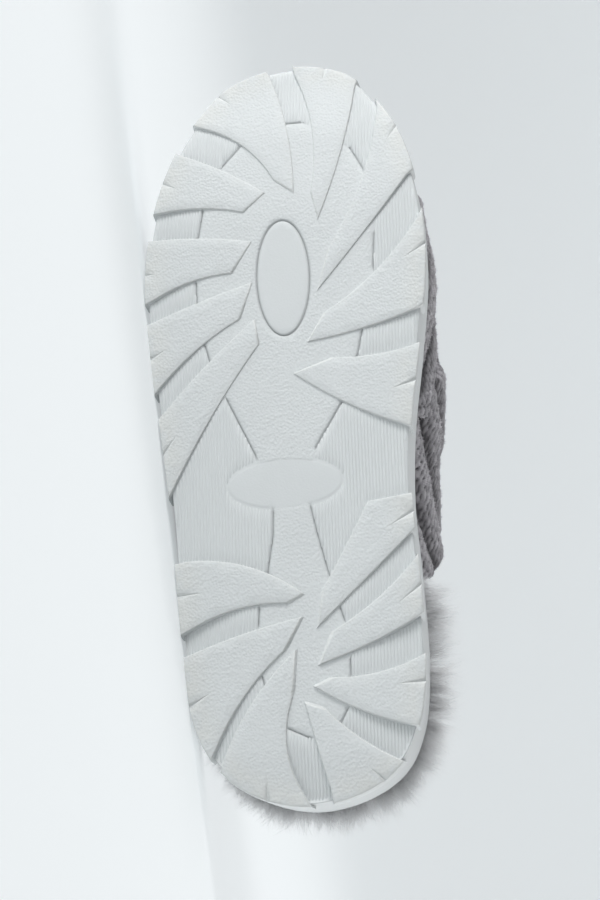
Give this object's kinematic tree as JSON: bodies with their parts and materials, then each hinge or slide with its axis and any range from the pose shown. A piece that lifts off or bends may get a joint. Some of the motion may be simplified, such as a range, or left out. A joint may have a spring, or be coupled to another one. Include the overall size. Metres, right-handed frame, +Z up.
{
  "type": "knit slipper",
  "caption": "House slipper with crossed padded knit bands over an open toe and heel, a long-fur footbed and a pale moulded sole with curved lugs, lying on its outer side.",
  "frame": {"origin": "on the floor under the middle of the box", "axes": "+Z up out of the floor and, in the shoe, towards the inner side of the foot; -X towards the toe; -Y the way the tread faces"},
  "size_m": [0.262, 0.0912, 0.0999],
  "materials": {
    "sole": "matte pale grey-white foam rubber with a fine leather grain",
    "fur": "long grey pile with lighter tips",
    "knit": "grey-lilac chenille knit with raised slanting ribs"
  },
  "bodies": {
    "root": {"outsole": "sole", "fur_footbed": "fur", "upper": "knit"}
  },
  "joints": []
}
